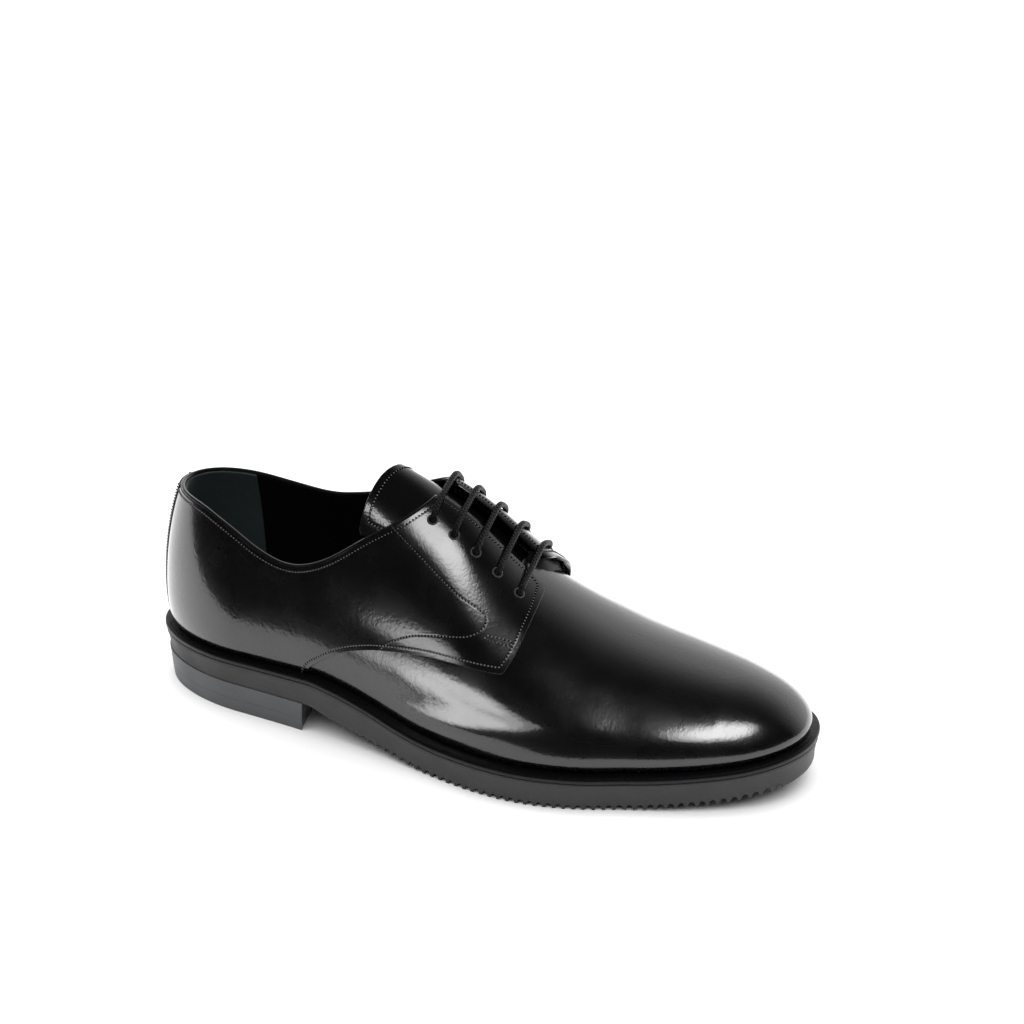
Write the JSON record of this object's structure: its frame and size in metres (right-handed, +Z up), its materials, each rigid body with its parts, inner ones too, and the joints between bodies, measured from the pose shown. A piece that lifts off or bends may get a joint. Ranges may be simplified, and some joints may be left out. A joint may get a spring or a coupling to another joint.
{
  "type": "derby shoe",
  "caption": "Plain-toe derby lace-up: hollow glossy leather upper, open collar and throat, tongue, straight lace bars, thin welt, grooved rubber sole and low block heel.",
  "frame": {"origin": "middle of the length of the heel, in its ground face", "axes": "+X towards the toe, +Z up from the ground, -Y the outer side of the foot"},
  "size_m": [0.298, 0.1081, 0.1169],
  "materials": {
    "sole_rubber": "satin moulded rubber, dark grey",
    "heel_rubber": "satin moulded rubber, dark grey",
    "top_piece_rubber": "satin rubber, dark grey",
    "welt_leather": "satin black welt strip with a wheeled top",
    "lining_leather": "matt black lining leather",
    "upper_leather": "high-shine smooth black leather",
    "tongue_leather": "shiny smooth black leather",
    "lace_cord": "round braided black cord, waxed"
  },
  "bodies": {
    "root": {"outsole": "sole_rubber", "heel_block": "heel_rubber", "heel_top_piece": "top_piece_rubber", "welt": "welt_leather", "insole": "lining_leather", "upper": "upper_leather", "tongue": "tongue_leather", "lace_bar_1": "lace_cord", "lace_bar_2": "lace_cord", "lace_bar_3": "lace_cord", "lace_bar_4": "lace_cord", "lace_bar_5": "lace_cord"}
  },
  "joints": []
}
